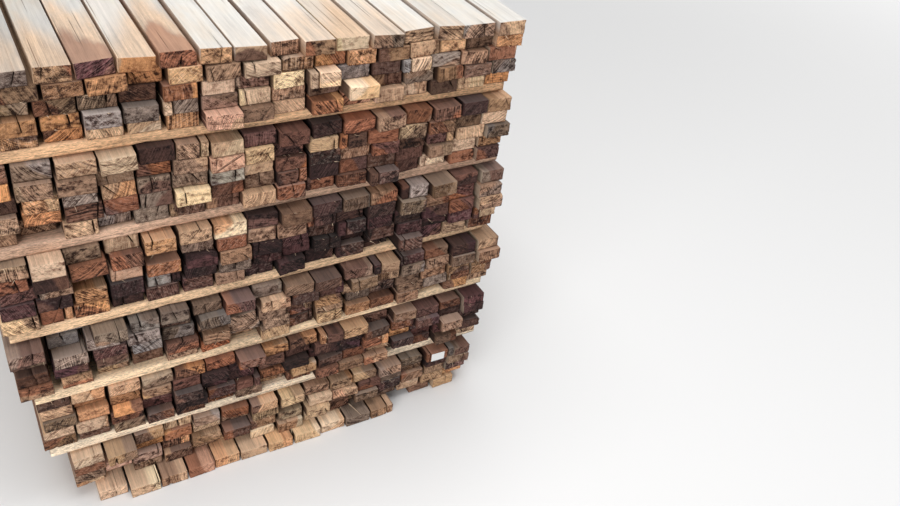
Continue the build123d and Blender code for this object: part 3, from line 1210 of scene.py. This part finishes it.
def splinter_shape():
    """Slivers of torn wood, one on each point."""
    shape = Shape("splinters", {"Wood": "NodeSocketMaterial", "Sides": "NodeSocketInt"})
    values = {
        "Vertices": shape.given("Sides"), "Side Segments": splinter_segments,
        "Radius Top": splinter_taper, "Radius Bottom": 1.0, "Depth": 1.0,
    }
    sliver = shape.out(shape.node("GeometryNodeMeshCone", values), "Mesh")
    values = {
        "Points": shape.given("Geometry"), "Instance": sliver,
        "Rotation": shape.read("turn"), "Scale": shape.read("stretch"),
    }
    placed = shape.out(shape.node("GeometryNodeInstanceOnPoints", values))
    solid = shape.out(shape.node("GeometryNodeRealizeInstances", {0: placed}))
    place = shape.out(shape.node("GeometryNodeInputPosition"))
    bend = shape.noise(shape.scaled(place, splinter_bend_scale)) - 0.5
    offset = shape.joined(bend * splinter_bend[0], 0.0, bend * splinter_bend[1])
    solid = shape.out(shape.node("GeometryNodeSetPosition", {"Geometry": solid, "Offset": offset}))
    return shape.finish(shape.painted(solid, shape.given("Wood")))


def splinter_values(draw, batten):
    """A sliver at the rim of a batten's front end, pointing out of it and a little aside."""
    centre_x, front, centre_z = batten["centre"]
    width, _, thickness = batten["size"]
    lean, skew, rake = batten["lean"]
    side = draw.uniform(-splinter_places_across, splinter_places_across) * width
    rise = draw.choice(splinter_places_up) * thickness
    thick = draw.uniform(*splinter_thickness)
    y = front + skew * side + rake * rise + splinter_lift
    tilt = math.radians(90 + draw.uniform(-splinter_tilt, splinter_tilt))
    roll = draw.uniform(-splinter_roll, splinter_roll)
    heading = draw.uniform(-splinter_heading, splinter_heading)
    return {
        "centre": (centre_x + side, y, centre_z + rise + lean * side), "turn": (tilt, roll, heading),
        "stretch": (thick, thick * draw.uniform(*splinter_flatness), draw.uniform(*splinter_length)),
    }


def torn_splinters():
    """The torn splinters on the batten ends, and one that lies loose."""
    draw = Random("splinters")
    above_ground = [batten for laid, battens in rows_laid.items() if laid != (1, 1) for batten in battens]
    chosen = [batten for batten in above_ground if draw.random() < splinter_chance]
    slivers = [splinter_values(draw, item) for item in chosen for _ in range(draw.randint(1, most_splinters))]
    under = min(rows_laid[1, 1], key=lambda item: abs(item["centre"][0] - loose_splinter_across))
    _, front, centre_z = under["centre"]
    top = centre_z + under["size"][2] / 2
    slivers.append({
        "centre": (loose_splinter_across, front + loose_splinter_back, top + splinter_lift),
        "turn": (math.radians(90), 0.0, math.radians(loose_splinter_heading)), "stretch": loose_splinter_size,
    })
    mesh = seed_mesh("splinter_places", slivers)
    mesh.vertices.foreach_set("co", np.array([sliver["centre"] for sliver in slivers], float).ravel())
    wood = plain_material("splinter_wood", tones["cream"], splinter_dullness)
    splinters = grown("splinters", mesh, splinter_shape(), {"Wood": wood, "Sides": splinter_sides})
    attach(splinters, "root")


def blank_tag():
    """A bare paper tag on one batten end, with one corner lifted."""
    def from_place(item):
        return math.dist((item["centre"][0], item["centre"][2]), tag_place)

    batten = min((item for row in tag_rows for item in rows_laid[1, row]), key=from_place)
    centre_x, front, centre_z = batten["centre"]
    lean, skew, rake = batten["lean"]
    half_width, half_height = tag_size[0] / 2, min(tag_size[1], batten["size"][2]) / 2
    points = []
    for off in tag_faces_off:
        for side, rise in ((-1, -1), (1, -1), (1, 1), (-1, 1)):
            across, up = side * half_width, rise * half_height
            y = front + skew * across + rake * up - off - tag_curl * (side > 0) * (rise > 0)
            points.append((centre_x + across, y, centre_z + up + lean * across))
    faces = [(0, 1, 2, 3), (7, 6, 5, 4), (0, 4, 5, 1), (1, 5, 6, 2), (2, 6, 7, 3), (3, 7, 4, 0)]
    sheet = bpy.data.meshes.new("blank_tag")
    sheet.from_pydata(points, [], faces)
    sheet.materials.append(plain_material("tag_paper", tag_white, tag_dullness))
    tag = in_scene("blank_tag", sheet)
    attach(tag, "root")


def studio():
    """A pale floor, a white surround and soft light from above and in front."""
    mesh = bpy.data.meshes.new("floor")
    half = floor_size / 2
    corners = [(-half, -half, 0), (half, -half, 0), (half, half, 0), (-half, half, 0)]
    mesh.from_pydata(corners, [], [(0, 1, 2, 3)])
    floor = in_scene("floor", mesh)
    paint, tree, shader = material("studio_floor", floor_dullness)
    shader.inputs["Base Color"].default_value = floor_tone
    shader.inputs["Emission Color"].default_value = white
    x, y, _ = tree.split(tree.out(tree.node("ShaderNodeTexCoord"), "Object"))
    far = tree.ramp(tree.vector_math("LENGTH", tree.joined(x, y, 0.0)), *floor_fade)
    camera_ray = tree.out(tree.node("ShaderNodeLightPath"), "Is Camera Ray")
    tree.feed(shader.inputs["Emission Strength"], far * camera_ray * floor_glow)
    mesh.materials.append(paint)

    world = bpy.data.worlds.new("studio")
    bpy.context.scene.world = world
    world.use_nodes = True
    tree = Tree(world.node_tree)
    path = tree.node("ShaderNodeLightPath")
    seen = sum(tree.out(path, f"Is {kind} Ray") for kind in ("Camera", "Glossy", "Transmission"))
    background = world.node_tree.nodes["Background"]
    background.inputs["Color"].default_value = white
    tree.feed(background.inputs["Strength"], surround_light + tree.held(seen) * (1 - surround_light))

    for name, where, size, power in lamps:
        data = bpy.data.lights.new(name, "AREA")
        data.size = size
        data.energy = power
        lamp = in_scene(name, data)
        lamp.location = where
        lamp.rotation_euler = (-lamp.location).to_track_quat("-Z", "Y").to_euler()


def photograph_camera():
    """The camera where the photograph was taken from."""
    boxes = [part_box(f"tier_{tier}_row_{row}") for tier, row in all_rows]
    axis = sum((low.x + high.x) / 2 for low, high in boxes) / len(boxes)
    boards = sum(front_of_boards) / len(front_of_boards)
    data = bpy.data.cameras.new("camera")
    data.angle = math.radians(camera_view_angle)
    camera = in_scene("camera", data)
    camera.location = (axis - camera_left_of_axis, boards - camera_before_boards, camera_height)
    heading = Matrix.Rotation(math.radians(-camera_heading), 4, "Z")
    tilt = Matrix.Rotation(math.radians(90 + camera_tilt), 4, "X")
    roll = Matrix.Rotation(math.radians(camera_roll), 4, "Z")
    camera.rotation_euler = (heading @ tilt @ roll).to_euler()
    bpy.context.scene.camera = camera


materials = {
    # The weathered long grain of the battens also carries painted shade in the gaps between them
    "batten_sides": long_grain_material("weathered_and_shaded_long_grain", 0.05, False, 0.8),
    "batten_ends": end_grain_material("sawn_end_grain"),
    "top_row_sides": long_grain_material("bleached_long_grain", 1.0, True, 0.6),
    "board_sides": long_grain_material("pale_board_grain", 0.15, False, 2.6),
}
surface_sizes = {
    "Edge radius": edge_radius, "Face roughness": face_roughness, "End roughness": end_roughness,
    "Chip depth": chip_depth, "Chip width": chip_width,
}
batten_classes = [
    ((faces_across, faces_along[kind], faces_up),
     (crowding_at_edges, crowding_at_ends[kind], crowding_at_edges))
    for kind in kinds_of_batten
]
detailed_battens = batten_shape(batten_classes, 1, "sawn_battens")
detailed_boards = batten_shape([(board_faces, board_crowdings)], 0, "cross_boards")
needed = {"wood_place", "batten_place", "rims", "tone", "heart", "weather", "saw", "cut", "material_index"}

all_rows = [(tier, row) for tier in range(1, tiers + 1) for row in range(1, rows_per_tier + 1)]
rows_laid = {(tier, row): lay_row(tier, row) for tier, row in all_rows}
front_of_boards = [lay_boards(level) for level in range(1, tiers)]
torn_splinters()
blank_tag()
studio()
photograph_camera()
bpy.context.scene.view_settings.view_transform = "Standard"
